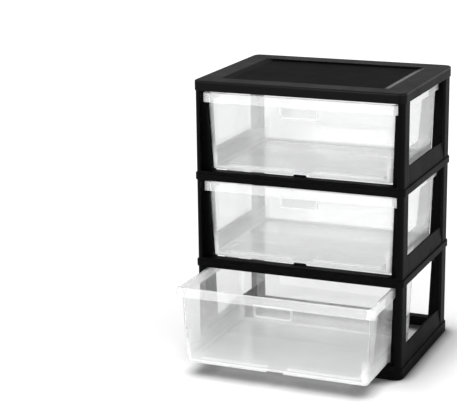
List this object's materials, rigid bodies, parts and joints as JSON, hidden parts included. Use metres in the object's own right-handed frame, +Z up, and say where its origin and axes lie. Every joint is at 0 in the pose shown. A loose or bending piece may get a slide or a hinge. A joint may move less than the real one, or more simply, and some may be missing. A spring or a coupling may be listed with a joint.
{
  "type": "plastic drawer tower",
  "caption": "Free-standing moulded tower of stacked open tier frames under a flat top panel, with clear pull-out drawers that hang by their rims.",
  "frame": {"origin": "on the floor, at the centre of the tower's footprint without the open drawer", "axes": "+Z up, drawers open towards -Y, +X to the right seen from behind the drawers looking to +Y"},
  "size_m": [0.322, 0.3403, 0.42],
  "materials": {
    "black_plastic": "satin moulded polypropylene",
    "clear_plastic": "clear, faintly milky moulded plastic"
  },
  "bodies": {
    "tower": {"top_panel": "black_plastic", "tier_frame_bottom": "black_plastic", "tier_frame_middle": "black_plastic", "tier_frame_top": "black_plastic"},
    "drawer_bottom": {"drawer_bottom": "clear_plastic"},
    "drawer_middle": {"drawer_middle": "clear_plastic"},
    "drawer_top": {"drawer_top": "clear_plastic"}
  },
  "joints": [
    {"name": "drawer_bottom_slide", "type": "slide", "parent": "tower", "child": "drawer_bottom", "axis": [0, -1, 0], "range_m": [-0.105, 0.05]},
    {"name": "drawer_middle_slide", "type": "slide", "parent": "tower", "child": "drawer_middle", "axis": [0, -1, 0], "range_m": [0, 0.155]},
    {"name": "drawer_top_slide", "type": "slide", "parent": "tower", "child": "drawer_top", "axis": [0, -1, 0], "range_m": [0, 0.155]}
  ]
}
